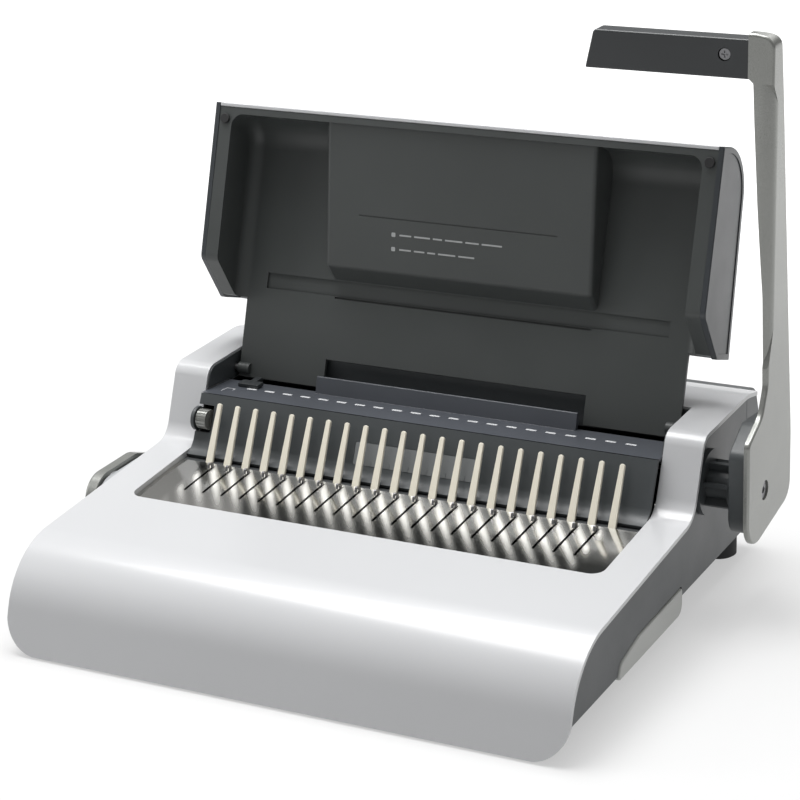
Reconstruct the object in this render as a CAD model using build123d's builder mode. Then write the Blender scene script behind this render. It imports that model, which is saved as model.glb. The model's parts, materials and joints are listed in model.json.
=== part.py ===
"""Comb binding machine: a manual punch and comb opener with its lid open.

Millimetres. +X runs along the machine to the handle side, +Y to the back, +Z up.
The origin is under the middle of the machine, on the surface that it stands on.
"""

import os
from math import acos, asin, cos, pi, radians, sin, sqrt, tan

from build123d import *

os.makedirs("parts", exist_ok=True)

# ---- driving dimensions -------------------------------------------------------------
cover_half = 197.4  # half width of the white cover
skin = 2.8  # thickness of the white cover
panel_half = 190.0  # outer face of the dark side panels
skirt_half = 183.5  # outer face of the inset skirt under the side panels
room_half = 178.0  # inside of the base
gap_half = 171.0  # inner faces of the two cheeks, and the comb well
well_front = -60.0
bridge_front = 97.0  # front edge of the cover behind the lid
seam_y = 152.0  # where the white cover meets the dark rear cover
rear_y = 177.0
fit = 0.2  # gap between neighbouring fixed pieces
run = 0.06  # radial clearance of a running fit

pitch = 14.2875  # 9/16 inch: the spacing of punched holes
hole_count = 21

lean = 18.0  # the paper plane and the open lid lean back from the vertical
lid_hinge_y, lid_hinge_z = 85.5, 115.0
throat_y, throat_z = 82.5, 106.6
lid_half = 187.7
lid_cap = 3.7

drive_y, drive_z = 74.5, 86.0  # drive shaft and handle axis
drive_radius = 6.0
handle_out = 230.0
handle_top = 382.5

lever_y, lever_z = -4.0, 43.0  # comb lever axis
lever_radius = 5.0
lever_out = -230.0

drive_module, drive_teeth = 1.5, 12
lever_module, lever_teeth = 2.0, 16
punch_travel = 14.1

# ---- planes -------------------------------------------------------------------------
lean_up = (sin(radians(lean)), cos(radians(lean)))
lid_plane = Plane(
    origin=(0, lid_hinge_y, lid_hinge_z), x_dir=(0, lean_up[0], lean_up[1]), z_dir=(1, 0, 0)
)  # local X runs up the lid, local Y out of its inner face
throat_plane = Plane(
    origin=(0, throat_y, throat_z), x_dir=(0, lean_up[1], -lean_up[0]), z_dir=(1, 0, 0)
)  # local X runs behind the paper, local Y up the paper


def save(piece, name):
    """Label a finished piece and write its STEP file."""
    piece.part.label = name
    export_step(piece.part, f"parts/{name}.step")


def block(low, high, mode=Mode.ADD):
    """Add or cut a box between two opposite corners."""
    middle = [(a + b) / 2 for a, b in zip(low, high)]
    with Locations(tuple(middle)):
        Box(high[0] - low[0], high[1] - low[1], high[2] - low[2], mode=mode)


def hole_places(count):
    """X positions of count features at the hole pitch, centred on the machine."""
    return [(i - (count - 1) / 2) * pitch for i in range(count)]


def gear_points(module, teeth, backlash):
    """Outline of an involute gear (20 degree pressure angle) centred on the origin."""
    pressure = radians(20)
    pitch_r = module * teeth / 2
    base_r = pitch_r * cos(pressure)
    tip_r = pitch_r + 0.9 * module
    root_r = pitch_r - 1.25 * module
    half_pitch_angle = pi / (2 * teeth) - backlash / (2 * pitch_r)
    start_r = max(base_r, root_r)

    def flank_angle(r):
        psi = acos(base_r / r)
        return half_pitch_angle + (tan(pressure) - pressure) - (tan(psi) - psi)

    radii = [start_r + (tip_r - start_r) * k / 4 for k in range(5)]
    points = []
    for tooth in range(teeth):
        middle = 2 * pi * tooth / teeth
        flank = [(r, flank_angle(r)) for r in radii]
        sides = [(root_r, -flank[0][1])] + [(r, -a) for r, a in flank]
        sides += [(r, a) for r, a in reversed(flank)] + [(root_r, flank[0][1])]
        points += [(r * cos(middle + a), r * sin(middle + a)) for r, a in sides]
    return points


def rack_points(module, first, count, pitch_line, back, backlash):
    """Outline of a rack whose teeth point to -Y; the middle of its first tooth is at X = first."""
    step = pi * module
    slope = tan(radians(20))
    half = step / 4 - backlash / 2
    tip = pitch_line - 0.9 * module
    root = pitch_line + 1.25 * module
    points = [(first - step / 2, back), (first - step / 2, root)]
    for k in range(count):
        centre = first + k * step
        wide = half + (root - pitch_line) * slope
        narrow = half - (pitch_line - tip) * slope
        points += [(centre - wide, root), (centre - narrow, tip)]
        points += [(centre + narrow, tip), (centre + wide, root)]
    last = first + (count - 1) * step
    return points + [(last + step / 2, root), (last + step / 2, back)]


# ---- white top cover -----------------------------------------------------------------
cover_corners = [
    (-177.0, 1.5),
    (-157.2, 64.4),
    (30.7, 77.2),
    (50.2, 126.4),
    (133.0, 127.5),
    (170.0, 120.0),
    (rear_y, 100.0),
    (rear_y, 1.5),
]
cover_radii = [0, 54, 18, 12, 40, 14, 20, 0]


# The same outline carried on below the casing, so that its insets are open underneath.
open_corners = [(-196.36, -60.0)] + cover_corners[1:-1] + [(rear_y, -60.0)]
under_skin = skin + fit

with BuildSketch() as casing_section:
    with BuildLine():
        FilletPolyline(*cover_corners, radius=cover_radii, close=True)
    make_face()
with BuildSketch() as cover_room:
    with BuildLine():
        FilletPolyline(*open_corners, radius=cover_radii, close=True)
    make_face()
    offset(amount=-skin, kind=Kind.ARC)
with BuildSketch() as base_section:
    with BuildLine():
        FilletPolyline(*open_corners, radius=cover_radii, close=True)
    make_face()
    offset(amount=-under_skin, kind=Kind.ARC)

corner_round = 25.0
cheek_wall = 2.4
cheek_low = 107.0  # lower edge of the cheek walls over the punch frame

with BuildPart() as cheek_walls:
    with BuildSketch(Plane.YZ.offset(gap_half)):
        with BuildLine():
            Polyline(
                (well_front - cheek_wall, 62), (44, 62), (44, cheek_low),
                (bridge_front + cheek_wall, cheek_low), (bridge_front + cheek_wall, 140),
                (well_front - cheek_wall, 140), close=True,
            )
        make_face()
    extrude(amount=cheek_wall)
    with Locations((gap_half + cheek_wall, lid_hinge_y, lid_hinge_z)):
        Cylinder(6.0, 4.0, rotation=(0, 90, 0), align=(Align.CENTER, Align.CENTER, Align.MIN))
    mirror(about=Plane.YZ)
    block((-gap_half - 1, well_front - cheek_wall, 65.2), (gap_half + 1, well_front, 90))
    block((-gap_half - 1, bridge_front, 113), (gap_half + 1, bridge_front + cheek_wall, 130))
    with BuildSketch(Plane.YZ):
        add(casing_section.sketch)
    extrude(amount=cover_half, both=True, mode=Mode.INTERSECT)
    with Locations((0, lid_hinge_y, lid_hinge_z)):
        Cylinder(2.5 + run, 2 * cover_half, rotation=(0, 90, 0), mode=Mode.SUBTRACT)

with BuildPart() as top_cover:
    with BuildSketch(Plane.YZ):
        add(casing_section.sketch)
        add(cover_room.sketch, mode=Mode.SUBTRACT)
    extrude(amount=cover_half, both=True)
    with Locations((0, seam_y - fit, 0)):
        Box(500, 60, 400, align=(Align.CENTER, Align.MIN, Align.CENTER), mode=Mode.SUBTRACT)
    with BuildSketch(Plane.XY.offset(40)):
        with Locations((0, (well_front + bridge_front) / 2)):
            RectangleRounded(2 * gap_half, bridge_front - well_front, 9)
        with Locations((0, bridge_front)):
            Rectangle(2 * gap_half, 40, align=(Align.CENTER, Align.MAX))
    extrude(amount=120, mode=Mode.SUBTRACT)
    for side in (-1, 1):
        with BuildSketch(Plane.XZ.offset(120)):
            with Locations((side * (cover_half - corner_round / 2), corner_round / 2 - 1)):
                Rectangle(corner_round + 2, corner_round)
            with Locations((side * (cover_half - corner_round + 0.2), corner_round + 1.3)):
                Circle(corner_round, mode=Mode.SUBTRACT)
        extrude(amount=80, mode=Mode.SUBTRACT)
    add(cheek_walls.part)
save(top_cover, "top_cover")

with BuildPart() as throat_guard:  # closes the view under the bridge, behind the lid's neck
    block((-170.4, bridge_front - 2.8, 104), (170.4, bridge_front - 0.8, 126.3))
save(throat_guard, "throat_guard")

with BuildPart() as cheek_liners:  # dark linings inside the cheeks, over the throat strip
    with BuildSketch(Plane.YZ.offset(gap_half - 1.1)):
        with BuildLine():
            FilletPolyline(
                (45.9, 112.0), (51.4, 125.1), (93.8, 125.7), (93.8, 108.0), (77.4, 108.0), (77.4, 109.3),
                radius=[0, 10, 0, 0, 0, 0], close=True,
            )
        make_face()
        with Locations((lid_hinge_y, lid_hinge_z)):
            Circle(2.9, mode=Mode.SUBTRACT)
    extrude(amount=0.9)
    mirror(about=Plane.YZ)
save(cheek_liners, "cheek_liners")

# ---- base shell ----------------------------------------------------------------------
floor_front, floor_rear, floor_step = 8.0, 17.5, 30.5
floor_skin = 2.0
panel_low_front, panel_low_rear = 14.0, 22.5
bay_front, bay_rear, bay_top = -85.0, floor_step, 29.6

with BuildSketch() as drawer_arch:  # opening in the right-hand side for the chip drawer
    with BuildLine():
        FilletPolyline(
            (bay_front, 0), (bay_front + 9, 22), (-44, 28.3), (bay_rear, bay_top), (bay_rear, 0),
            radius=[0, 7, 30, 2, 0], close=True,
        )
    make_face()

with BuildPart() as side_panel:
    with BuildSketch(Plane.YZ.offset(skirt_half)):
        add(base_section.sketch)
    extrude(amount=panel_half - skirt_half)
    block((180, -200, -80), (200, 200, panel_low_front), Mode.SUBTRACT)
    block((180, floor_step, -80), (200, 200, panel_low_rear), Mode.SUBTRACT)
    mirror(about=Plane.YZ)

room_low = floor_front + floor_skin
room_low_rear = floor_rear + floor_skin
with BuildPart() as base_shell:
    with BuildSketch(Plane.YZ):
        add(base_section.sketch)
    extrude(amount=skirt_half, both=True)
    block((-room_half, -200, room_low), (room_half, floor_step, 200), Mode.SUBTRACT)
    block((-room_half, floor_step - 1, room_low_rear), (room_half, 200, 200), Mode.SUBTRACT)
    block((-200, -200, -80), (200, 200, floor_front), Mode.SUBTRACT)
    block((-200, floor_step + floor_skin, -80), (200, 200, floor_rear), Mode.SUBTRACT)
    add(side_panel.part)
    block((-200, seam_y - fit, room_low_rear), (200, 200, 200), Mode.SUBTRACT)
    with BuildSketch(Plane.YZ.offset(room_half - 6)):
        add(drawer_arch.sketch)
        with Locations((0, (floor_front + floor_skin) / 2)):
            Rectangle(400, floor_front + floor_skin, mode=Mode.SUBTRACT)
    extrude(amount=30, mode=Mode.SUBTRACT)
    with Locations((panel_half, drive_y, drive_z)):
        Cylinder(8.0, 40, rotation=(0, 90, 0), mode=Mode.SUBTRACT)
    with Locations((-panel_half, lever_y, lever_z)):
        Cylinder(7.0, 40, rotation=(0, 90, 0), mode=Mode.SUBTRACT)
    for x, y in ((-160, -140), (160, -140), (-160, 130), (160, 130), (-60, -140), (60, -140)):
        low = floor_front if y < 0 else floor_rear
        with Locations((x, y, low + floor_skin)):
            Cylinder(5.0, 12.0, align=(Align.CENTER, Align.CENTER, Align.MIN))
save(base_shell, "base_shell")

with BuildPart() as rear_cover:
    with BuildSketch(Plane.YZ):
        add(casing_section.sketch)
    extrude(amount=panel_half, both=True)
    with BuildSketch(Plane.YZ):
        add(cover_room.sketch)
    extrude(amount=panel_half - skin, both=True, mode=Mode.SUBTRACT)
    with Locations((0, seam_y, 0)):
        Box(500, 500, 600, align=(Align.CENTER, Align.MAX, Align.CENTER), mode=Mode.SUBTRACT)
    block((-200, 0, -80), (200, 200, room_low_rear + fit), Mode.SUBTRACT)
    with Locations((-90, rear_y, 74), (90, rear_y, 74)):
        for k in range(6):
            with Locations((0, 0, (k - 2.5) * 7)):
                Box(70, 3, 2.4, mode=Mode.SUBTRACT)
save(rear_cover, "rear_cover")

foot_radius = 13.0
with BuildPart() as rubber_feet:
    for x, y, top in (
        (-162, -148, floor_front), (162, -148, floor_front), (-170, 154, floor_rear), (170, 154, floor_rear)
    ):
        with BuildSketch(Plane.XY.shift_origin((x, y, 0))):
            Circle(foot_radius - 1.5)
        extrude(amount=1.0)
        with BuildSketch(Plane.XY.offset(1.0).shift_origin((x, y, 1.0))):
            Circle(foot_radius)
        extrude(amount=top - 1.0)
save(rubber_feet, "rubber_feet")

with BuildPart() as base_screws:
    for x, y in ((-60, -140), (60, -140), (-150, 130), (150, 130)):
        low = floor_front if y < 0 else floor_rear
        with Locations((x, y, low)):
            Cylinder(4.0, 1.8, align=(Align.CENTER, Align.CENTER, Align.MAX))
        with Locations((x, y, low - 1.8)):
            Box(5.5, 1.0, 1.6, mode=Mode.SUBTRACT)
save(base_screws, "base_screws")

# ---- comb plate, fingers and bed ------------------------------------------------------
plate_front = well_front + 0.4
plate_rear = 8.4
plate_skin = 1.2
plate_ends, plate_crown = (67.3, 72.2), 70.1
slot_front, slot_rear, slot_width = -35.0, 5.0, 1.9
finger_lean = (0.453, 0.8915)
finger_foot = (11.2, 73.5)

with BuildPart() as comb_plate:
    with BuildSketch(Plane.YZ):
        with BuildLine():
            top_edge = ThreePointArc(
                (plate_front, plate_ends[0]), (-28, plate_crown), (plate_rear, plate_ends[1])
            )
            Line(top_edge @ 1, (plate_rear, plate_ends[1] - plate_skin))
            ThreePointArc(
                (plate_rear, plate_ends[1] - plate_skin), (-28, plate_crown - plate_skin),
                (plate_front, plate_ends[0] - plate_skin),
            )
            Line((plate_front, plate_ends[0] - plate_skin), top_edge @ 0)
        make_face()
    extrude(amount=gap_half - 0.4, both=True)
    for x in hole_places(hole_count):
        with Locations((x, (slot_front + slot_rear) / 2, 70)):
            Box(slot_width, slot_rear - slot_front, 20, mode=Mode.SUBTRACT)
save(comb_plate, "comb_plate")

with BuildPart() as comb_fingers:
    for x in hole_places(hole_count + 1):
        finger_plane = Plane(
            origin=(x, finger_foot[0], finger_foot[1]),
            x_dir=(1, 0, 0),
            z_dir=(0, -finger_lean[1], finger_lean[0]),
        )
        with BuildSketch(finger_plane):
            with BuildLine():
                left = Line((-2.8, -5.5), (-1.7, 37.6))
                tip = ThreePointArc(left @ 1, (0, 39.6), (1.7, 37.6))
                right = Line(tip @ 1, (2.8, -5.5))
                Line(right @ 1, left @ 0)
            make_face()
        extrude(amount=1.2, both=True)
save(comb_fingers, "comb_fingers")

rail_x, rail_z, rail_radius = 160.0, 61.0, 2.5
ledge_in, ledge_out = 166.2, 170.6

with BuildPart() as comb_bed:
    with BuildSketch(Plane.YZ.offset(ledge_in)):
        with BuildLine():
            Polyline(
                (-94, 10.2), (-87, 10.2), (-87, 54), (-16, 54), (-12, 34), (4, 34), (8, 54), (33.5, 54),
                (33.5, 19.7), (38, 19.7), (38, 70), (9.4, 70), (7.6, 64.8), (-94, 64.8), close=True,
            )
        make_face()
    extrude(amount=ledge_out - ledge_in)
    mirror(about=Plane.YZ)
    with Locations((0, 18.9, 68.2)):
        Box(2 * ledge_out, 22.2, 5.2)
    block((-ledge_out, 8.8, 68), (ledge_out, 13.0, 71.9))
    with Locations((0, -64.5, 60.4)):
        Box(2 * ledge_out, 5, 8.8)
    with Locations((-rail_x, 27, 62.5), (rail_x, 27, 62.5)):
        Box(8, 6, 12)
    with Locations((-rail_x, -17, rail_z), (rail_x, -17, rail_z)):
        Cylinder(rail_radius, 94, rotation=(90, 0, 0), mode=Mode.SUBTRACT)
    with Locations((0, lever_y, lever_z)):
        Cylinder(lever_radius + run, 500, rotation=(0, 90, 0), mode=Mode.SUBTRACT)
    add(comb_fingers.part, mode=Mode.SUBTRACT)
save(comb_bed, "comb_bed")

with BuildPart() as hook_rails:
    with Locations((-rail_x, -17, rail_z), (rail_x, -17, rail_z)):
        Cylinder(rail_radius, 94, rotation=(90, 0, 0))
save(hook_rails, "hook_rails")

# ---- hook carriage --------------------------------------------------------------------
bar_front, bar_rear = -9.0, 4.5
with BuildPart() as hook_bar:
    with Locations((0, (bar_front + bar_rear) / 2, 62.4)):
        Box(2 * 143 + 8, bar_rear - bar_front, 3.2)
    with Locations((-rail_x + 4, -2.2, 61), (rail_x - 4, -2.2, 61)):
        Box(16.4, 13.5, 7.2)
    with Locations((0, -2.2, rail_z)):
        with Locations((-rail_x, 0, 0), (rail_x, 0, 0)):
            Cylinder(rail_radius + run, 40, rotation=(90, 0, 0), mode=Mode.SUBTRACT)
    with Locations((-150, -2.2, 60), (150, -2.2, 60)):
        Box(8.6, 20, 10, mode=Mode.SUBTRACT)
    with Locations((-150, -2.2, 63.6), (150, -2.2, 63.6)):
        Box(9, 13.5, 1.8)
save(hook_bar, "hook_bar")

hook_wire = 1.4
with BuildPart() as comb_hooks:
    for x in hole_places(hole_count):
        with BuildSketch(Plane.YZ.offset(x - hook_wire / 2)):
            with BuildLine():
                FilletPolyline(
                    (-3.4, 64.0), (3.2, 64.0), (3.2, 75.4), (-2.2, 77.2), (-3.6, 73.6), (-2.4, 73.0),
                    (-1.4, 75.2), (1.4, 74.4), (1.4, 66.0), (-3.4, 66.0),
                    radius=[0, 0, 2.2, 1.0, 0, 0, 0.5, 0.6, 0.4, 0], close=True,
                )
            make_face()
        extrude(amount=hook_wire)
save(comb_hooks, "comb_hooks")

lever_pitch_r = lever_module * lever_teeth / 2
hook_rack_line = lever_z + lever_pitch_r
tooth_step = pi * lever_module
with BuildPart() as hook_racks:
    with BuildSketch(Plane.YZ.offset(146)):
        with BuildLine():
            Polyline(
                *rack_points(
                    lever_module, lever_y - tooth_step / 2 - tooth_step, 9, hook_rack_line, 62.6, 0.3
                ),
                close=True,
            )
        make_face()
    extrude(amount=8)
    mirror(about=Plane.YZ)
save(hook_racks, "hook_racks")

# ---- comb lever -----------------------------------------------------------------------
with BuildPart() as lever_pinions:
    with BuildSketch(Plane(origin=(146, lever_y, lever_z), x_dir=(0, 0, 1), z_dir=(1, 0, 0))):
        with BuildLine():
            Polyline(*gear_points(lever_module, lever_teeth, 0.3), close=True)
        make_face()
        Circle(lever_radius + 0.01, mode=Mode.SUBTRACT)
    extrude(amount=8)
    mirror(about=Plane.YZ)
save(lever_pinions, "lever_pinions")

with BuildPart() as lever_shaft:
    with Locations((-222, lever_y, lever_z)):
        Cylinder(
            lever_radius, 222 + ledge_out, rotation=(0, 90, 0), align=(Align.CENTER, Align.CENTER, Align.MIN)
        )
save(lever_shaft, "lever_shaft")

with BuildPart() as lever_bush:
    with Locations((-panel_half - 0.6, lever_y, lever_z)):
        Cylinder(6.95, 16, rotation=(0, 90, 0), align=(Align.CENTER, Align.CENTER, Align.MIN))
        Cylinder(lever_radius + run, 60, rotation=(0, 90, 0), mode=Mode.SUBTRACT)
save(lever_bush, "lever_bush")

with BuildPart() as lever_boss:
    with Locations((-panel_half - 0.8, lever_y, lever_z)):
        Cylinder(17.0, 12, rotation=(0, -90, 0), align=(Align.CENTER, Align.CENTER, Align.MIN))
        Cylinder(14.0, 15, rotation=(0, -90, 0), align=(Align.CENTER, Align.CENTER, Align.MIN))
        Cylinder(lever_radius + 0.6, 60, rotation=(0, 90, 0), mode=Mode.SUBTRACT)
save(lever_boss, "lever_boss")

lever_lobe = [(-29, 61.5), (-30, 19.5), (34, 19.5), (150, 28), (156, 44), (60, 50), (28, 62)]
lever_radii = [19, 17, 24, 8, 8, 60, 22]
with BuildPart() as comb_lever:
    with BuildSketch(Plane.YZ.offset(lever_out)):
        with BuildLine():
            FilletPolyline(*lever_lobe, radius=lever_radii, close=True)
        make_face()
    extrude(amount=8.5)
    fillet(comb_lever.faces().sort_by(Axis.X)[0].edges(), 2.0)
    with Locations((lever_out, lever_y, lever_z)):
        Cylinder(7.5, 6, rotation=(0, 90, 0), mode=Mode.SUBTRACT)
    with Locations((lever_out + 5, lever_y, lever_z)):
        Cylinder(lever_radius + 0.01, 20, rotation=(0, 90, 0), mode=Mode.SUBTRACT)
save(comb_lever, "comb_lever")

with BuildPart() as lever_inner:
    with BuildSketch(Plane.YZ.offset(lever_out + 9.7)):
        with BuildLine():
            FilletPolyline(*lever_lobe, radius=lever_radii, close=True)
        make_face()
        offset(amount=-3.0, kind=Kind.ARC)
    extrude(amount=4.2)
    with BuildSketch(Plane.YZ.offset(lever_out + 8.5)):
        with Locations((lever_y, lever_z)):
            Circle(16)
    extrude(amount=1.3)
    with Locations((lever_out, lever_y, lever_z)):
        Cylinder(lever_radius + 0.01, 60, rotation=(0, 90, 0), mode=Mode.SUBTRACT)
save(lever_inner, "lever_inner")

with BuildPart() as lever_screw:
    with Locations((lever_out + 1.2, lever_y, lever_z)):
        Cylinder(6.6, 1.7, rotation=(0, 90, 0), align=(Align.CENTER, Align.CENTER, Align.MIN))
        Cylinder(4.6, 6.7, rotation=(0, 90, 0), align=(Align.CENTER, Align.CENTER, Align.MIN))
        Box(2.0, 7.5, 1.2, mode=Mode.SUBTRACT)
save(lever_screw, "lever_screw")

# ---- edge guide knob, where it stands ---------------------------------------------------
knob_x, knob_y, knob_z = -167.4, 29.5, 95.4
knob_radius, knob_axle = 7.1, 1.6

with BuildPart() as knob_boss:
    with Locations((-gap_half + 0.4, knob_y, knob_z)):
        Cylinder(knob_radius + 1.4, 2.6, rotation=(0, 90, 0), align=(Align.CENTER, Align.CENTER, Align.MIN))
        Cylinder(knob_axle + 0.01, 20, rotation=(0, 90, 0), mode=Mode.SUBTRACT)
save(knob_boss, "knob_boss")

# ---- panel behind the fingers and throat strip ----------------------------------------
panel_skin = 2.2
with BuildPart() as front_panel:
    with BuildSketch(Plane.YZ):
        with BuildLine():
            face_line = FilletPolyline((13.7, 74.3), (21.5, 76.2), (38.0, 111.2), radius=15)
            offset(face_line, amount=panel_skin, side=Side.RIGHT)
        make_face()
    extrude(amount=gap_half - 0.4, both=True)
    window_plane = Plane(origin=(0, 27.3, 88.5), x_dir=(1, 0, 0), z_dir=(0, -0.9046, 0.4265))
    with BuildSketch(window_plane.offset(1.5)):
        RectangleRounded(90, 16, 1.5)
    extrude(amount=-2.4, mode=Mode.SUBTRACT)
    with Locations((-gap_half, knob_y, knob_z)):
        Box(2 * 12.6, 30, 2 * (knob_radius + 1.6), mode=Mode.SUBTRACT)
save(front_panel, "front_panel")

with BuildPart() as measure_window:
    with BuildSketch(window_plane.offset(-0.7)):
        RectangleRounded(89.4, 15.4, 1.2)
    extrude(amount=0.9)
    with BuildSketch(window_plane.offset(0.2)):
        with Locations((0, -5.6)):
            with GridLocations(7.0, 1, 12, 1):
                Rectangle(0.8, 3.0)
    extrude(amount=0.25)
save(measure_window, "measure_window")

tab_half = 98.5
strip_rear = 76.6
with BuildPart() as throat_strip:
    with BuildSketch(Plane.YZ):
        with BuildLine():
            Polyline(
                (38.3, 111.5), (strip_rear, 108.6), (strip_rear - 0.8, 106.2), (41.0, 108.9), (39.9, 111.0),
                close=True,
            )
        make_face()
    extrude(amount=gap_half - 0.4, both=True)
    with BuildSketch(Plane.YZ):
        with BuildLine():
            FilletPolyline(
                (71.6, 107.5), (75.6, 120.6), (77.7, 120.0), (strip_rear, 107.2),
                radius=[0, 0.9, 0.6, 0], close=True,
            )
        make_face()
    extrude(amount=tab_half, both=True)
save(throat_strip, "throat_strip")

# ---- punch frame ----------------------------------------------------------------------
throat_half = 160.0
punch_low = 8.0  # middle of the punched holes below the top of the throat
punch_wide, punch_tall = 8.0, 3.0
rest_front = 20.0  # front of the punch bar behind the paper, at rest
end_in, end_out = 174.5, 177.4  # faces of the end plates

with BuildPart() as die_plate:
    with BuildSketch(throat_plane):
        with Locations((-3.1, -8.0)):
            Rectangle(3.8, 13.0)
    extrude(amount=throat_half, both=True)
    with BuildSketch(throat_plane):
        with Locations((-3.1, -3.3)):
            Rectangle(3.8, 3.6)
    extrude(amount=end_in - 0.1, both=True)
    for x in hole_places(hole_count):
        hole_plane = Plane(
            origin=throat_plane.from_local_coords(Vector(0, -punch_low, x)), x_dir=(1, 0, 0),
            z_dir=(0, lean_up[1], -lean_up[0]),
        )
        with BuildSketch(hole_plane.offset(-9)):
            Rectangle(punch_wide + 0.2, punch_tall + 0.2)
        extrude(amount=18, mode=Mode.SUBTRACT)
save(die_plate, "die_plate")

with BuildPart() as guide_plate:
    with BuildSketch(throat_plane):
        with Locations((3.1, -8.4)):
            Rectangle(3.8, 14.4)
    extrude(amount=throat_half, both=True)
    with BuildSketch(throat_plane):
        with Locations((3.1, -3.0)):
            Rectangle(3.8, 3.6)
    extrude(amount=end_in - 0.1, both=True)
    for x in hole_places(hole_count):
        hole_plane = Plane(
            origin=throat_plane.from_local_coords(Vector(0, -punch_low, x)), x_dir=(1, 0, 0),
            z_dir=(0, lean_up[1], -lean_up[0]),
        )
        with BuildSketch(hole_plane.offset(-9)):
            Rectangle(punch_wide + 0.16, punch_tall + 0.16)
        extrude(amount=18, mode=Mode.SUBTRACT)
save(guide_plate, "guide_plate")

with BuildPart() as paper_stop:
    with BuildSketch(throat_plane):
        with Locations((0, -13.6)):
            Rectangle(2.2, 1.8)
    extrude(amount=throat_half, both=True)
save(paper_stop, "paper_stop")

slot_low, slot_high = 4.4, 10.6
with BuildPart() as end_plate_right:
    with BuildSketch(Plane.YZ.offset(end_in)):
        with BuildLine():
            FilletPolyline(
                (50, floor_rear + floor_skin + fit), (124, floor_rear + floor_skin + fit), (124, 100),
                (60, 112), (50, 100), radius=[0, 0, 8, 6, 6], close=True,
            )
        make_face()
        with Locations((drive_y, drive_z)):
            Circle(8.0, mode=Mode.SUBTRACT)
        with Locations((lid_hinge_y, lid_hinge_z)):
            Circle(8.0, mode=Mode.SUBTRACT)
    extrude(amount=end_out - end_in)
    with BuildSketch(throat_plane.offset(end_in - 1)):
        with Locations(((rest_front - punch_travel - 1 + rest_front + 9) / 2, -(slot_low + slot_high) / 2)):
            Rectangle(punch_travel + 10, slot_high - slot_low)
    extrude(amount=10, mode=Mode.SUBTRACT)
save(end_plate_right, "end_plate_right")

with BuildPart() as end_plate_left:
    add(mirror(end_plate_right.part, about=Plane.YZ, mode=Mode.PRIVATE))
save(end_plate_left, "end_plate_left")

with BuildPart() as frame_ties:
    with Locations((0, 112, 60), (0, 62, 36)):
        Cylinder(4.0, 2 * end_in - 0.2, rotation=(0, 90, 0))
save(frame_ties, "frame_ties")

with BuildPart() as drive_bushes:
    for side in (-1, 1):
        with Locations((side * (end_in - 0.1), drive_y, drive_z)):
            Cylinder(9.6, 1.8, rotation=(0, -90 * side, 0), align=(Align.CENTER, Align.CENTER, Align.MIN))
            Cylinder(7.9, 3.0, rotation=(0, 90 * side, 0), align=(Align.CENTER, Align.CENTER, Align.MIN))
            Cylinder(drive_radius + run, 20, rotation=(0, 90, 0), mode=Mode.SUBTRACT)
save(drive_bushes, "drive_bushes")

with BuildPart() as chip_chute:
    with BuildSketch(Plane.YZ):
        with BuildLine():
            slide_line = FilletPolyline((67.0, 92.5), (47.5, 64.0), (25.0, 30.2), radius=20)
            offset(slide_line, amount=1.2, side=Side.RIGHT)
        make_face()
    extrude(amount=162, both=True)
    for side in (-1, 1):
        with Locations((side * 168.3, 52.5, 63)):
            Box(12.4, 8, 6)
save(chip_chute, "chip_chute")

# ---- drive shaft, pinions, punch bar --------------------------------------------------
with BuildPart() as drive_shaft:
    with Locations((-end_out, drive_y, drive_z)):
        Cylinder(
            drive_radius, 224 + end_out, rotation=(0, 90, 0), align=(Align.CENTER, Align.CENTER, Align.MIN)
        )
save(drive_shaft, "drive_shaft")

pinion_in, pinion_wide = 162.2, 7.6
drive_pitch_r = drive_module * drive_teeth / 2
with BuildPart() as drive_pinions:
    with BuildSketch(
        Plane(
            origin=(pinion_in, drive_y, drive_z), x_dir=(0, lean_up[0], lean_up[1]), z_dir=(1, 0, 0)
        )
    ):
        with BuildLine():
            Polyline(*gear_points(drive_module, drive_teeth, 0.25), close=True)
        make_face()
        Circle(drive_radius + 0.01, mode=Mode.SUBTRACT)
    extrude(amount=pinion_wide)
    mirror(about=Plane.YZ)
save(drive_pinions, "drive_pinions")

drive_local = throat_plane.to_local_coords(Vector(0, drive_y, drive_z))
punch_rack_line = drive_local.Y + drive_pitch_r
rack_step = pi * drive_module
with BuildPart() as punch_racks:
    with BuildSketch(throat_plane.offset(pinion_in)):
        with BuildLine():
            Polyline(
                *rack_points(drive_module, drive_local.X - 0.5 * rack_step, 5, punch_rack_line, -7.2, 0.25),
                close=True,
            )
        make_face()
        with Locations((rest_front - 0.1, -7.2)):
            Rectangle(8, 3.0, align=(Align.MAX, Align.MAX))
    extrude(amount=pinion_wide)
    mirror(about=Plane.YZ)
save(punch_racks, "punch_racks")

with BuildPart() as punch_bar:
    with BuildSketch(throat_plane):
        with Locations((rest_front + 4, -7.5)):
            Rectangle(8, 9)
    extrude(amount=173.2, both=True)
    with BuildSketch(throat_plane):
        with Locations((rest_front + 4, -7.5)):
            Rectangle(8, 5.6)
    extrude(amount=end_out, both=True)
    for x in hole_places(hole_count):
        with BuildSketch(
            Plane(
                origin=throat_plane.from_local_coords(Vector(rest_front - 1, -punch_low, x)),
                x_dir=(1, 0, 0), z_dir=(0, lean_up[1], -lean_up[0]),
            )
        ):
            Rectangle(punch_wide + 0.02, punch_tall + 0.02)
        extrude(amount=5, mode=Mode.SUBTRACT)
save(punch_bar, "punch_bar")

with BuildPart() as punch_pins:
    for x in hole_places(hole_count):
        with BuildSketch(
            Plane(
                origin=throat_plane.from_local_coords(Vector(1.4, -punch_low, x)),
                x_dir=(1, 0, 0), z_dir=(0, lean_up[1], -lean_up[0]),
            )
        ):
            Rectangle(punch_wide, punch_tall)
        extrude(amount=rest_front + 4 - 1.4)
save(punch_pins, "punch_pins")

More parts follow.
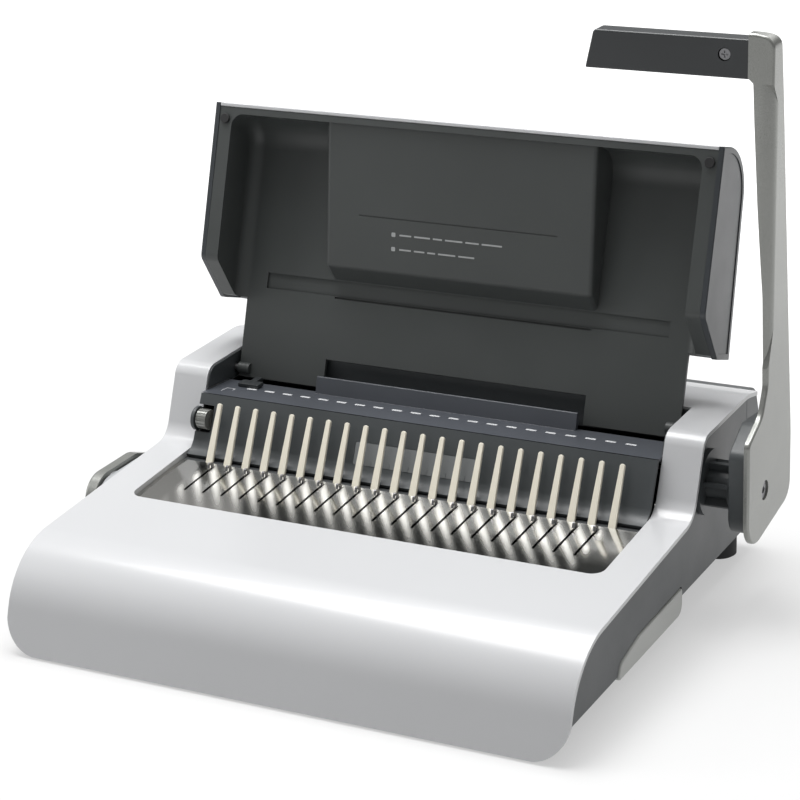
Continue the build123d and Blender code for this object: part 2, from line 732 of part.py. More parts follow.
with BuildPart() as pin_retainer:
    with BuildSketch(throat_plane):
        with Locations((rest_front + 8.1, -7.5)):
            Rectangle(1.8, 8.4, align=(Align.MIN, Align.CENTER))
    extrude(amount=158, both=True)
save(pin_retainer, "pin_retainer")

# ---- handle ---------------------------------------------------------------------------
arm_front = 76.4
arm_outline = [
    (42.5, 127.5), (43.5, 50.5), (127.0, 64.0), (126.0, 110.0), (97.5, 338.0), (91.0, handle_top),
    (arm_front, handle_top), (arm_front, 156.0), (67.0, 138.5),
]
arm_radii = [5, 20, 14, 60, 30, 9, 2, 10, 14]
knuckle_in = 213.0
ridge_in = handle_out - 9.0  # the arm's front outer corner is rounded between the knuckle and the hub plate
ridge_rear = arm_front + 9.0
with BuildPart() as ridge_cut:
    with BuildSketch(Plane.XY.offset(140)):
        with BuildLine():
            RadiusArc((handle_out, ridge_rear), (ridge_in, arm_front), 9.0)
            Polyline(
                (ridge_in, arm_front), (ridge_in, arm_front - 5), (handle_out + 5, arm_front - 5),
                (handle_out + 5, ridge_rear), (handle_out, ridge_rear),
            )
        make_face()
    extrude(amount=220)
    with BuildSketch(Plane.YZ.offset(200)):
        with BuildLine():
            Polyline(
                (arm_front - 6, 361.0), (ridge_rear + 0.5, 337.0), (ridge_rear + 0.5, 196.0),
                (arm_front - 6, 150.0), close=True,
            )
        make_face()
    extrude(amount=40, mode=Mode.INTERSECT)

with BuildPart() as handle_arm:
    with BuildSketch(Plane.YZ.offset(200)):
        with BuildLine():
            FilletPolyline(*arm_outline, radius=arm_radii, close=True)
        make_face()
    extrude(amount=handle_out - 200)
    with BuildSketch(Plane.XZ.offset(-200)):
        with BuildLine():
            FilletPolyline(
                (handle_out, 30), (handle_out, 380.2), (knuckle_in, handle_top + 0.8), (knuckle_in, 354.8),
                (216.6, 351.6), (217.8, 325), (220.6, 275), (224.8, 215), (226.3, 150), (226.3, 30),
                radius=[0, 8, 1.6, 1.6, 2, 40, 60, 60, 60, 0], close=True,
            )
        make_face()
    extrude(amount=400, mode=Mode.INTERSECT)
    outline = handle_arm.edges().filter_by(lambda e: e.bounding_box().min.X > handle_out - 0.01)
    fillet(outline, 1.6)
    add(ridge_cut.part, mode=Mode.SUBTRACT)
    with Locations((handle_out, drive_y, drive_z)):
        Cylinder(6.6, 6, rotation=(0, 90, 0), mode=Mode.SUBTRACT)
        Cylinder(3.1, 30, rotation=(0, 90, 0), mode=Mode.SUBTRACT)
save(handle_arm, "handle_arm")

with BuildPart() as handle_inner:
    with BuildSketch(Plane.YZ.offset(214.6)):
        with BuildLine():
            FilletPolyline(
                (46.5, 118.0), (47.5, 58.0), (122.0, 70.0), (121.5, 112.0), (112.0, 128.0), (72.0, 132.0),
                radius=[8, 15, 11, 12, 8, 12], close=True,
            )
        make_face()
    extrude(amount=226.2 - 214.6)
    with Locations((214.6, drive_y, drive_z)):
        Cylinder(drive_radius + 0.01, 2 * (224 - 214.6), rotation=(0, 90, 0), mode=Mode.SUBTRACT)
    with Locations((224, drive_y, drive_z)):
        Cylinder(3.1, 30, rotation=(0, 90, 0), mode=Mode.SUBTRACT)
save(handle_inner, "handle_inner")

with BuildPart() as shaft_screw:
    with Locations((224.1, drive_y, drive_z)):
        Cylinder(3.0, 3.2, rotation=(0, 90, 0), align=(Align.CENTER, Align.CENTER, Align.MIN))
    with Locations((handle_out - 2.8, drive_y, drive_z)):
        Cylinder(6.0, 1.6, rotation=(0, 90, 0), align=(Align.CENTER, Align.CENTER, Align.MIN))
    with BuildSketch(Plane.YZ.offset(handle_out - 1.9)):
        with Locations((drive_y, drive_z)):
            RegularPolygon(2.5, 6)
    extrude(amount=2, mode=Mode.SUBTRACT)
save(shaft_screw, "shaft_screw")

with BuildPart() as handle_boss:
    with Locations((panel_half + 0.3, drive_y, drive_z)):
        Cylinder(22.0, 3, rotation=(0, 90, 0), align=(Align.CENTER, Align.CENTER, Align.MIN))
        Cylinder(11.0, 23, rotation=(0, 90, 0), align=(Align.CENTER, Align.CENTER, Align.MIN))
    for k in range(3):
        with Locations(Location((panel_half + 10.3, drive_y, drive_z), (15 + 60 * k, 0, 0))):
            Box(20, 2.6, 33.0)
    with Locations((panel_half + 20.3, drive_y, drive_z)):
        Cylinder(15.0, 2.6, rotation=(0, 90, 0))
    with Locations((panel_half, drive_y, drive_z)):
        Cylinder(drive_radius + 0.6, 60, rotation=(0, 90, 0), mode=Mode.SUBTRACT)
save(handle_boss, "handle_boss")

grip_front, grip_rear = 77.6, 92.0
grip_screw_x, grip_screw_z = 197.2, 368.2
with BuildPart() as handle_grip:
    with BuildSketch(Plane.XZ.offset(-grip_rear)):
        with BuildLine():
            FilletPolyline(
                (110.2, 378.4), (104.4, 353.6), (knuckle_in - 0.1, 353.6), (knuckle_in - 0.1, 378.4),
                radius=[3, 0.8, 0, 0], close=True,
            )
        make_face()
    extrude(amount=grip_rear - grip_front)
    fillet(handle_grip.edges().filter_by(Axis.X), 1.2)
    with Locations((grip_screw_x, grip_front, grip_screw_z)):
        Cylinder(4.2, 6.0, rotation=(90, 0, 0), mode=Mode.SUBTRACT)
save(handle_grip, "handle_grip")

with BuildPart() as grip_screw:
    with Locations((grip_screw_x, grip_front + 2.9, grip_screw_z)):
        Cylinder(3.6, 1.8, rotation=(90, 0, 0), align=(Align.CENTER, Align.CENTER, Align.MIN))
    with Locations((grip_screw_x, grip_front + 1.1, grip_screw_z)):
        Box(4.4, 1.6, 1.0, mode=Mode.SUBTRACT)
        Box(1.0, 1.6, 4.4, mode=Mode.SUBTRACT)
save(grip_screw, "grip_screw")

# ---- lid ------------------------------------------------------------------------------
flange_up = 36.0  # how far the lid's end walls stand out of the inner sheet
lid_skin = 2.4
liner_half = lid_half - lid_cap - 0.1
neck_half = 167.0
lid_end_low, lid_end_high = 48.4, 184.6
notch_top = 14.0
lid_back = [(48.4, -22.0), (188.0, -10.5), (lid_end_high, flange_up + 0.6)]
lid_back_radius = 34.0

with BuildSketch() as lid_end_outline:  # chamfer, flange, rounded free end and back
    with BuildLine():
        FilletPolyline(
            *lid_back, (75.5, flange_up), (lid_end_low, 2.6),
            radius=[0, lid_back_radius, 0, 7, 4], close=True,
        )
    make_face()

with BuildSketch() as lid_room:  # the space inside the lid shell, open towards the hinge and the user
    with BuildLine():
        FilletPolyline(
            (-20.0, -27.6), (188.0, -10.5), (182.75, 60.0), (-20.0, 60.0),
            radius=[0, lid_back_radius, 0, 0], close=True,
        )
    make_face()
    offset(amount=-(lid_skin + 0.1), kind=Kind.INTERSECTION)

with BuildSketch() as lid_cap_inset:
    add(lid_end_outline.sketch)
    offset(amount=-4.0, kind=Kind.ARC)

with BuildPart() as lid_shell:
    with BuildSketch(lid_plane):
        with BuildLine():
            back_line = FilletPolyline(*lid_back, radius=lid_back_radius)
            offset(back_line, amount=lid_skin, side=Side.LEFT)
        make_face()
    extrude(amount=liner_half, both=True)
save(lid_shell, "lid_shell")

with BuildPart() as lid_end_cap_right:
    with BuildSketch(lid_plane.offset(liner_half + 0.1)):
        add(lid_end_outline.sketch)
    extrude(amount=lid_cap)
    fillet(lid_end_cap_right.faces().sort_by(Axis.X)[-1].edges(), 0.9)
    with BuildSketch(lid_plane.offset(lid_half - 0.6)):
        add(lid_cap_inset.sketch)
    extrude(amount=1, mode=Mode.SUBTRACT)
save(lid_end_cap_right, "lid_end_cap_right")

with BuildPart() as lid_end_cap_left:
    add(mirror(lid_end_cap_right.part, about=Plane.YZ, mode=Mode.PRIVATE))
save(lid_end_cap_left, "lid_end_cap_left")

block_half = 100.0
block_face = [(70.5, 0.0), (80.0, 13.6), (179.0, 33.6), (179.0, 0.0)]
wall_in = 174.0
with BuildPart() as lid_pocket:  # the room inside the end walls, with soft corners
    with BuildSketch(lid_plane):
        with BuildLine():
            FilletPolyline((-30, 0), (177.6, 0), (177.6, 60), (-30, 60), radius=[0, 22, 0, 0], close=True)
        make_face()
    extrude(amount=wall_in, both=True)
    ends = lid_pocket.faces().filter_by(Axis.X).edges()
    fillet([e for e in ends if lid_plane.to_local_coords(e.center()).Y < 40 and e.center().Z > 120], 9)

with BuildPart() as lid_block:  # the raised middle of the liner
    with BuildSketch(lid_plane):
        with BuildLine():
            FilletPolyline(*block_face, radius=[0, 5, 0, 0], close=True)
        make_face()
    extrude(amount=block_half, both=True)
    sides = lid_block.faces().filter_by(Axis.X).edges()
    raised = [e for e in sides if lid_plane.to_local_coords(e.center()).Y > 3]
    fillet([e for e in raised if lid_plane.to_local_coords(e.center()).X < 178], 3)

with BuildPart() as lid_liner:
    with BuildSketch(lid_plane):
        with BuildLine():
            FilletPolyline(
                (50.4, -2.4), (50.4, 5.1), (75.5, flange_up), (lid_end_high - lid_skin - 0.1, flange_up),
                (181.8, 34.8), (181.8, -2.4), radius=[0, 4, 7, 0, 0, 0], close=True,
            )
        make_face()
    extrude(amount=liner_half, both=True)
    add(lid_pocket.part, mode=Mode.SUBTRACT)
    with BuildSketch(lid_plane):
        with Locations((-6.0, 0)):
            Rectangle(56.5, lid_skin, align=(Align.MIN, Align.MAX))
    extrude(amount=neck_half, both=True)
    with BuildSketch(lid_plane):
        with Locations((50.4, -2.2)):
            Rectangle(2.2, 17.4, align=(Align.MIN, Align.MAX))
    extrude(amount=liner_half, both=True)
    add(lid_block.part)
    with BuildSketch(lid_plane):
        with BuildLine():
            Polyline((74.5, -4.0), (82.5, 10.6), (174.6, 29.6), (174.6, -4.0), close=True)
        make_face()
    extrude(amount=block_half - 2.6, both=True, mode=Mode.SUBTRACT)
    with BuildSketch(lid_plane.offset(-152)):
        with Locations((58.6, 0.01)):
            Rectangle(11.0, 1.7, align=(Align.MIN, Align.MAX))
    extrude(amount=304, mode=Mode.SUBTRACT)
    with BuildSketch(lid_plane.offset(-97)):
        with Locations((57.0, 0.01)):
            Rectangle(1.3, 1.6, align=(Align.MIN, Align.MAX))
    extrude(amount=194, mode=Mode.SUBTRACT)
    with BuildSketch(lid_plane.offset(-98.8)):
        with Locations((-20, 0)):
            Rectangle(20 + notch_top, 20, align=(Align.MIN, Align.CENTER))
    extrude(amount=197.6, mode=Mode.SUBTRACT)
    with Locations(lid_plane.location):
        with Locations((0, 0, -162.5), (0, 0, 162.5)):
            Cylinder(4.0, 9)
        for x in (-165.0, 165.0):
            with Locations((0, 0, x)):
                Cylinder(2.5 + 0.01, 11, mode=Mode.SUBTRACT)
    with BuildSketch(Plane(lid_plane.location * Location((116.8, 21.2, 0), (0, 0, 11.4)))):
        Rectangle(0.9, 1.4)
    extrude(amount=74, both=True, mode=Mode.SUBTRACT)
    with BuildSketch(lid_plane):
        add(lid_room.sketch)
    extrude(amount=200, both=True, mode=Mode.INTERSECT)
save(lid_liner, "lid_liner")

with BuildPart() as lid_bumpers:
    with Locations(lid_plane.location):
        for x in (-179.0, 179.0):
            with Locations(Location((173.8, flange_up, x), (90, 0, 0))):
                Cylinder(3.4, 1.8, align=(Align.CENTER, Align.CENTER, Align.MAX))
save(lid_bumpers, "lid_bumpers")

with BuildPart() as lid_hinge_pins:
    with Locations((-168.1, lid_hinge_y, lid_hinge_z), (168.1, lid_hinge_y, lid_hinge_z)):
        Cylinder(2.5, 16.8, rotation=(0, 90, 0))
save(lid_hinge_pins, "lid_hinge_pins")

# ---- chip drawer ----------------------------------------------------------------------
drawer_low, drawer_top = 10.7, 23.8
tray_front, tray_rear = -65.5, 27.6
with BuildPart() as chip_drawer:
    block((-172, tray_front, drawer_low), (185, tray_rear, drawer_top))
    block((-170, tray_front + 2, drawer_low + 2), (182.5, tray_rear - 2, 60), Mode.SUBTRACT)
    with BuildSketch(Plane.YZ.offset(182.5)):
        with BuildLine():
            FilletPolyline(
                (-79.9, drawer_low), (-75.4, 21.4), (-44.0, 27.7), (29.9, 29.0), (29.9, drawer_low),
                radius=[3, 6.5, 29, 2.5, 8], close=True,
            )
        make_face()
    extrude(amount=8.5)
    fillet(chip_drawer.faces().sort_by(Axis.X)[-1].edges(), 1.4)
save(chip_drawer, "chip_drawer")

# ---- paper edge guide -----------------------------------------------------------------
with BuildPart() as edge_guide:
    with Locations((-147.0, 66.0, 111.2)):
        Box(16, 8, 2.6)
    with Locations((-147.0, 73.6, 111.2)):
        Box(5, 8.6, 2.6)
    with Locations((-147.0, 78.4, 110.2)):
        Box(5, 2.0, 3.6)
save(edge_guide, "edge_guide")

with BuildPart() as edge_guide_knob:
    with BuildSketch(Plane(origin=(knob_x, knob_y, knob_z), x_dir=(0, 0, 1), z_dir=(1, 0, 0))):
        Circle(knob_radius)
        with PolarLocations(knob_radius, 18):
            Circle(0.5, mode=Mode.SUBTRACT)
        Circle(knob_axle + run, mode=Mode.SUBTRACT)
    extrude(amount=7.6)
    with Locations((knob_x + 7.6, knob_y, knob_z)):
        Box(1.2, 1.6, 9.0, mode=Mode.SUBTRACT)
save(edge_guide_knob, "edge_guide_knob")

with BuildPart() as knob_pin:
    with Locations((-172.0, knob_y, knob_z)):
        Cylinder(knob_axle, 11.6, rotation=(0, 90, 0), align=(Align.CENTER, Align.CENTER, Align.MIN))
save(knob_pin, "knob_pin")
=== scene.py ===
"""Looks of the comb binding machine: materials, rounded moulded edges, printed marks, light and camera.

Metres, in the same frame as the CAD: +X to the handle side, +Y to the back, +Z up.
"""

import json
import math

import bmesh
import bpy
from mathutils import Matrix, Vector


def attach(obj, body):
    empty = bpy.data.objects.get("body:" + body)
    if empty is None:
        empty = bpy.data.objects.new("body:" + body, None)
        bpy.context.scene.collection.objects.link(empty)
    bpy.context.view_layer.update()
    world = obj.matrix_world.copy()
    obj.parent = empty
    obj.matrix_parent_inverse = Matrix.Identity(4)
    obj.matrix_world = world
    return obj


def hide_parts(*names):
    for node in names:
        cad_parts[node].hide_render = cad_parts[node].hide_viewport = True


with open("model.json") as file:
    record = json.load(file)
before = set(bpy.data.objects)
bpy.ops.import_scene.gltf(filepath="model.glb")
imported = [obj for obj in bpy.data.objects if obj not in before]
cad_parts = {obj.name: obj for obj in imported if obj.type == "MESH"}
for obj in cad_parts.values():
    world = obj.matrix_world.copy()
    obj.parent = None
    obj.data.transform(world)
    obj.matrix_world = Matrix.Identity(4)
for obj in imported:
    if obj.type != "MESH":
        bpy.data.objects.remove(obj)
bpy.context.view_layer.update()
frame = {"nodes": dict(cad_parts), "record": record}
nodes = frame["nodes"]
body_of_node = {n: b for b, members in frame["record"]["behaviour"]["bodies"].items() for n in members}
slot_of_node = {s["node"]: s["material_slot"] for s in frame["record"]["subparts"]}
scene = bpy.context.scene

MM = 0.001
PITCH = 14.2875 * MM  # from one punched hole to the next
HOLES = 21

# ---- camera ---------------------------------------------------------------------------
CAMERA_PLACE = (0.70939, -1.35279, 0.69824)
CAMERA_AZIMUTH, CAMERA_ELEVATION, CAMERA_ROLL = 27.49, 20.02, -1.91  # degrees
CAMERA_LENS, CAMERA_FILM = 112.02, 36.0  # millimetres
CAMERA_NEAR, CAMERA_FAR = 0.05, 50.0


def make_camera():
    azimuth, elevation, roll = (math.radians(d) for d in (CAMERA_AZIMUTH, CAMERA_ELEVATION, CAMERA_ROLL))
    right = Vector((math.cos(azimuth), math.sin(azimuth), 0))
    level = math.cos(elevation)
    back = Vector((math.sin(azimuth) * level, -math.cos(azimuth) * level, math.sin(elevation)))
    up = back.cross(right)
    side = math.cos(roll) * right + math.sin(roll) * up
    top = -math.sin(roll) * right + math.cos(roll) * up
    turn = Matrix((side, top, back)).transposed().to_4x4()
    data = bpy.data.cameras.new("camera")
    data.lens, data.sensor_width = CAMERA_LENS, CAMERA_FILM
    data.clip_start, data.clip_end = CAMERA_NEAR, CAMERA_FAR
    camera = bpy.data.objects.new("camera", data)
    camera.matrix_world = Matrix.Translation(CAMERA_PLACE) @ turn
    scene.collection.objects.link(camera)
    scene.camera = camera


# ---- light and floor ------------------------------------------------------------------
SKY = ((0.0, 0.07), (0.30, 0.20), (0.85, 0.60))  # height and brightness of the studio around the machine
LIGHTS = {  # place, aim, size and power
    "key": ((-0.30, 0.30, 1.9), (0, 0.05, 0.1), (1.5, 1.2), 54),
    "back_light": ((0.5, 1.5, 1.3), (0, 0, 0.2), (1.6, 0.7), 7),
    "left_light": ((-1.7, -0.7, 0.9), (0, 0, 0.15), (0.5, 1.3), 8),
}
FLOOR_REACH, FLOOR_CELLS = 14, 4
FLOOR_SHADE, FLOOR_ROUGHNESS = 0.30, 0.6
FLOOR_GLOW, FLOOR_BACK_GLOW = 0.47, 1.0
SWEEP_START, SWEEP_END = 0.15, 1.2  # Y range over which the paper sweep behind the machine grows bright


def area_light(name, place, aim, size, power):
    data = bpy.data.lights.new(name, "AREA")
    data.shape = "RECTANGLE"
    data.size, data.size_y = size
    data.energy = power
    lamp = bpy.data.objects.new(name, data)
    lamp.location = place
    lamp.rotation_mode = "QUATERNION"
    lamp.rotation_quaternion = (Vector(aim) - Vector(place)).to_track_quat("-Z", "Y")
    scene.collection.objects.link(lamp)


def make_light():
    scene.view_settings.view_transform = "Standard"
    world = bpy.data.worlds.new("studio")
    scene.world = world
    world.use_nodes = True
    tree = world.node_tree
    place = tree.nodes.new("ShaderNodeTexCoord")
    parts = tree.nodes.new("ShaderNodeSeparateXYZ")
    height = tree.nodes.new("ShaderNodeValToRGB")  # dim at the horizon, bright overhead
    stops = height.color_ramp.elements
    (low, dim), (middle, half), (high, bright) = SKY
    stops[0].position, stops[0].color = low, (dim, dim, dim, 1)
    stops[1].position, stops[1].color = high, (bright, bright, bright, 1)
    stops.new(middle).color = (half, half, half, 1)
    tree.links.new(place.outputs["Generated"], parts.inputs["Vector"])
    tree.links.new(parts.outputs["Z"], height.inputs["Fac"])
    tree.links.new(height.outputs["Color"], tree.nodes["Background"].inputs["Color"])
    for name, settings in LIGHTS.items():
        area_light(name, *settings)


def make_floor():
    mesh = bpy.data.meshes.new("floor")
    grid = bmesh.new()
    bmesh.ops.create_grid(grid, x_segments=FLOOR_CELLS, y_segments=FLOOR_CELLS, size=FLOOR_REACH)
    grid.to_mesh(mesh)
    grid.free()
    floor = bpy.data.objects.new("floor", mesh)
    scene.collection.objects.link(floor)
    surface = bpy.data.materials.new("floor_white")
    surface.use_nodes = True
    tree = surface.node_tree
    shader = tree.nodes["Principled BSDF"]
    shader.inputs["Base Color"].default_value = (FLOOR_SHADE, FLOOR_SHADE, FLOOR_SHADE, 1)
    shader.inputs["Roughness"].default_value = FLOOR_ROUGHNESS
    shader.inputs["Emission Color"].default_value = (1, 1, 1, 1)
    place = tree.nodes.new("ShaderNodeTexCoord")
    parts = tree.nodes.new("ShaderNodeSeparateXYZ")
    behind = tree.nodes.new("ShaderNodeMapRange")
    behind.interpolation_type = "SMOOTHSTEP"
    behind.inputs["From Min"].default_value = SWEEP_START
    behind.inputs["From Max"].default_value = SWEEP_END
    behind.inputs["To Min"].default_value = FLOOR_GLOW
    behind.inputs["To Max"].default_value = FLOOR_BACK_GLOW
    tree.links.new(place.outputs["Object"], parts.inputs["Vector"])
    tree.links.new(parts.outputs["Y"], behind.inputs["Value"])
    tree.links.new(behind.outputs["Result"], shader.inputs["Emission Strength"])
    mesh.materials.append(surface)


# ---- materials ------------------------------------------------------------------------
materials = {}  # one for every slot of the record, and two inks


class Graph:
    """A new material and its node tree, with short calls that add and join its nodes."""

    def __init__(self, name):
        materials[name] = bpy.data.materials.new(name)
        materials[name].use_nodes = True
        self.tree = materials[name].node_tree
        self.shader = self.tree.nodes["Principled BSDF"]
        self.place = self.add("ShaderNodeTexCoord").outputs["Object"]

    def add(self, kind, **values):
        node = self.tree.nodes.new(kind)
        for key, value in values.items():
            setattr(node, key, value)
        return node

    def join(self, source, target):
        self.tree.links.new(source, target)

    def paint(self, name, source):
        """Drive one of the shader's inputs."""
        self.join(source, self.shader.inputs[name])

    def set(self, name, value):
        self.shader.inputs[name].default_value = value

    def fill(self, sockets, values):
        """Give each socket its number, or the output that drives it."""
        for socket, value in zip(sockets, values):
            if isinstance(value, (int, float)):
                socket.default_value = value
            else:
                self.join(value, socket)

    def noise(self, scale, detail=3.0, roughness=0.5, stretch=None):
        node = self.add("ShaderNodeTexNoise")
        node.inputs["Scale"].default_value = scale
        node.inputs["Detail"].default_value = detail
        node.inputs["Roughness"].default_value = roughness
        place = self.place
        if stretch:
            mapping = self.add("ShaderNodeMapping")
            mapping.inputs["Scale"].default_value = stretch
            self.join(place, mapping.inputs["Vector"])
            place = mapping.outputs["Vector"]
        self.join(place, node.inputs["Vector"])
        return node.outputs["Fac"]

    def ranged(self, source, low, high, from_low=0.3, from_high=0.7):
        node = self.add("ShaderNodeMapRange")
        names = ("Value", "From Min", "From Max", "To Min", "To Max")
        self.fill([node.inputs[n] for n in names], (source, from_low, from_high, low, high))
        return node.outputs["Result"]

    def calc(self, operation, *values):
        node = self.add("ShaderNodeMath", operation=operation)
        self.fill(node.inputs, values)
        return node.outputs["Value"]

    def blend(self, factor, first, second):
        node = self.add("ShaderNodeMix", data_type="RGBA")
        self.join(factor, node.inputs["Factor"])
        for socket, value in ((node.inputs["A"], first), (node.inputs["B"], second)):
            if isinstance(value, tuple):
                socket.default_value = (*value, 1)
            else:
                self.join(value, socket)
        return node.outputs["Result"]

    def bump(self, height, distance, strength=1.0, under=None):
        node = self.add("ShaderNodeBump")
        node.inputs["Distance"].default_value = distance
        node.inputs["Strength"].default_value = strength
        self.join(height, node.inputs["Height"])
        if under is not None:
            self.join(under, node.inputs["Normal"])
        return node.outputs["Normal"]

    def painted_shade_mask(self, distance=0.006):
        """Mask for painted shade: 0 in corners and narrow gaps, 1 in the open, from ambient occlusion."""
        node = self.add("ShaderNodeAmbientOcclusion", samples=8)
        node.inputs["Distance"].default_value = distance
        return self.ranged(node.outputs["AO"], 0.0, 1.0, 0.15, 0.75)


def tinted(colour, factor):
    return tuple(min(1.0, c * factor) for c in colour)


def moulded(
    name, colour, roughness, grain=0.00003, grain_scale=2200, spread=0.08, coat=0.0, crevice_shade=0.55,
    rub=0.05, ripple=0.25,
):
    """Moulded plastic: a fine even grain, slow changes of tone, rubbed patches, and painted shade
    darkening corners and narrow gaps.
    """
    graph = Graph(name)
    slow = graph.ranged(graph.noise(9, 4), 0.0, 1.0)
    shade = graph.blend(slow, tinted(colour, 1 - spread), tinted(colour, 1 + spread))
    # painted shade: ambient occlusion darkens the base colour in corners and narrow gaps, by the crevice
    # factor
    if crevice_shade < 1:
        shade = graph.blend(graph.painted_shade_mask(), tinted(colour, crevice_shade), shade)
    graph.paint("Base Color", shade)
    rubbed = graph.ranged(graph.noise(38, 5, 0.6), roughness - rub, roughness + rub, 0.2, 0.8)
    graph.paint("Roughness", rubbed)
    fine = graph.bump(graph.noise(grain_scale, 2), grain, 0.6)
    graph.paint("Normal", graph.bump(graph.noise(46, 1.5), 0.00005, ripple, fine))
    if coat:
        graph.set("Coat Weight", coat)
        graph.set("Coat Roughness", 0.12)


def metal(name, colour, roughness, spread=0.08):
    """Machined or plated steel with fine drawn lines along Y."""
    graph = Graph(name)
    lines = graph.noise(3.0, 4, 0.6, stretch=(40, 900, 40))
    slow = graph.ranged(graph.noise(14, 3), 0, 1)
    graph.paint("Base Color", graph.blend(slow, tinted(colour, 1 - spread), tinted(colour, 1 + spread)))
    graph.paint("Roughness", graph.ranged(lines, roughness - 0.06, roughness + 0.08))
    graph.paint("Normal", graph.bump(lines, 0.00002, 0.25))
    graph.set("Metallic", 1.0)


def reflection_banded_steel(name, colour, mirror, satin, lean, foot):
    """Polished steel with a painted reflection of every comb finger: a stripe running forward from the
    finger's foot.

    In each stripe the base colour is painted lighter, as the finger's reflection, fading darker towards
    the front edge; the roughness turns from mirror to satin, a real finish. mirror and satin are
    roughnesses; lean is how far a stripe drifts to +X on its way forward; foot is the Y of the fingers'
    feet.
    """
    graph = Graph(name)
    parts = graph.add("ShaderNodeSeparateXYZ")
    graph.join(graph.place, parts.inputs["Vector"])
    x, y = parts.outputs["X"], parts.outputs["Y"]
    turn = 2 * math.pi / PITCH
    angle = graph.calc("MULTIPLY_ADD", graph.calc("MULTIPLY_ADD", y, lean, x), turn, -turn * lean * foot)
    # painted reflection: one stripe per comb finger, leaning forward from its foot
    finger_reflection_wave = graph.ranged(graph.calc("COSINE", angle), 0.0, 1.0, -0.95, 0.95)
    under_fingers = graph.ranged(graph.calc("ABSOLUTE", x), 1.0, 0.0, 0.147, 0.153)
    # painted reflection fades darker towards the front edge
    reflection_fading = graph.ranged(y, 0.35, 1.0, -0.052, -0.022)
    reflection_and_satin_band = graph.calc("MULTIPLY", finger_reflection_wave, graph.calc("MULTIPLY", reflection_fading, under_fingers))
    lines = graph.noise(3.0, 4, 0.6, stretch=(700, 20, 40))
    # painted reflection: base colour lighter in each finger's stripe, darker between; the roughness below
    # is the real satin finish
    graph.paint("Base Color", graph.blend(reflection_and_satin_band, tinted(colour, 0.62), colour))
    graph.paint("Roughness", graph.ranged(reflection_and_satin_band, mirror, satin, 0.0, 1.0))
    graph.paint("Normal", graph.bump(lines, 0.00002, 0.03))
    graph.set("Metallic", 1.0)


def silver_paint(name, colour, roughness):
    """Silver lacquer over die-cast metal: tiny flakes and a faint orange peel."""
    graph = Graph(name)
    flakes = graph.noise(5200, 1, 0.5)
    slow = graph.ranged(graph.noise(11, 4), 0, 1)
    graph.paint("Base Color", graph.blend(slow, tinted(colour, 0.90), tinted(colour, 1.08)))
    graph.paint("Roughness", graph.ranged(flakes, roughness - 0.05, roughness + 0.07))
    graph.paint("Normal", graph.bump(graph.noise(420, 3), 0.00003, 0.35))
    graph.set("Metallic", 0.55)


def make_materials():
    # a crevice factor below 1 paints shade into corners and gaps; 1 paints none
    glossy = {"coat": 0.3, "crevice_shade": 1, "rub": 0.01, "ripple": 0.03}
    clean = {"spread": 0.03, "crevice_shade": 1}
    moulded("white_cover", (0.50, 0.505, 0.515), 0.30, 0.00001, 1500, 0.010, **glossy)
    moulded("dark_plastic", (0.052, 0.058, 0.061), 0.40)
    moulded("strip_plastic", (0.066, 0.072, 0.084), 0.36)
    moulded("liner_plastic", (0.052, 0.057, 0.056), 0.44)
    moulded("grip_plastic", (0.030, 0.033, 0.035), 0.38)
    moulded("cap_plastic", (0.040, 0.045, 0.050), 0.34)
    moulded("bed_plastic", (0.036, 0.039, 0.041), 0.45)
    moulded("drawer_plastic", (0.42, 0.43, 0.41), 0.30, rub=0.02, ripple=0.05, **clean)
    moulded("window_plastic", (0.19, 0.20, 0.205), 0.16)
    moulded("pale_plastic", (0.36, 0.37, 0.38), 0.35, spread=0.04)
    moulded("cream_fingers", (0.76, 0.72, 0.61), 0.36, 0.00002, 1800, 0.03, crevice_shade=0.7)
    moulded("black_rubber", (0.014, 0.014, 0.015), 0.7, 0.00006, 1400, 0.25)
    silver_paint("silver_paint", (0.285, 0.29, 0.275), 0.28)
    # the comb plate's steel, with painted reflections of the fingers
    reflection_banded_steel("polished_steel", (0.94, 0.93, 0.89), mirror=0.12, satin=0.46, lean=0.67, foot=2.4 * MM)
    metal("plain_steel", (0.26, 0.26, 0.27), 0.36)
    metal("bush_brass", (0.60, 0.44, 0.22), 0.32)
    moulded("print_pale", (0.58, 0.59, 0.60), 0.55, **clean)
    moulded("print_faint", (0.36, 0.37, 0.37), 0.55, **clean)


# ---- rounded copies of the moulded and cast pieces ---------------------------------------
SMOOTH_BELOW = math.radians(40)
HARD_ABOVE = math.radians(28)
FLAT_BELOW = math.radians(0.3)
SAME_POINT = 2e-6
BEVEL_STEPS = 3
ROUNDING = {  # millimetres
    "top_cover": 0.9, "base_shell": 0.6, "rear_cover": 0.6, "front_panel": 0.4, "throat_strip": 0.45,
    "throat_guard": 0.4, "cheek_liners": 0.3, "handle_inner": 1.0, "handle_boss": 0.5, "lever_boss": 0.6,
    "comb_fingers": 0.45, "lid_liner": 0.7, "lid_shell": 0.5, "lid_end_cap_left": 0.3,
    "lid_end_cap_right": 0.3, "edge_guide": 0.4, "lever_inner": 0.6, "comb_bed": 0.3, "chip_drawer": 0.5,
    "lid_bumpers": 0.4, "knob_boss": 0.4,
}


def clean_copy(node):
    """The faces of a CAD piece without its doubled points and flat triangles."""
    work = bmesh.new()
    work.from_mesh(nodes[node].data)
    bmesh.ops.remove_doubles(work, verts=work.verts, dist=SAME_POINT)
    bmesh.ops.dissolve_limit(
        work, angle_limit=FLAT_BELOW, verts=work.verts, edges=work.edges, use_dissolve_boundaries=False,
    )
    return work


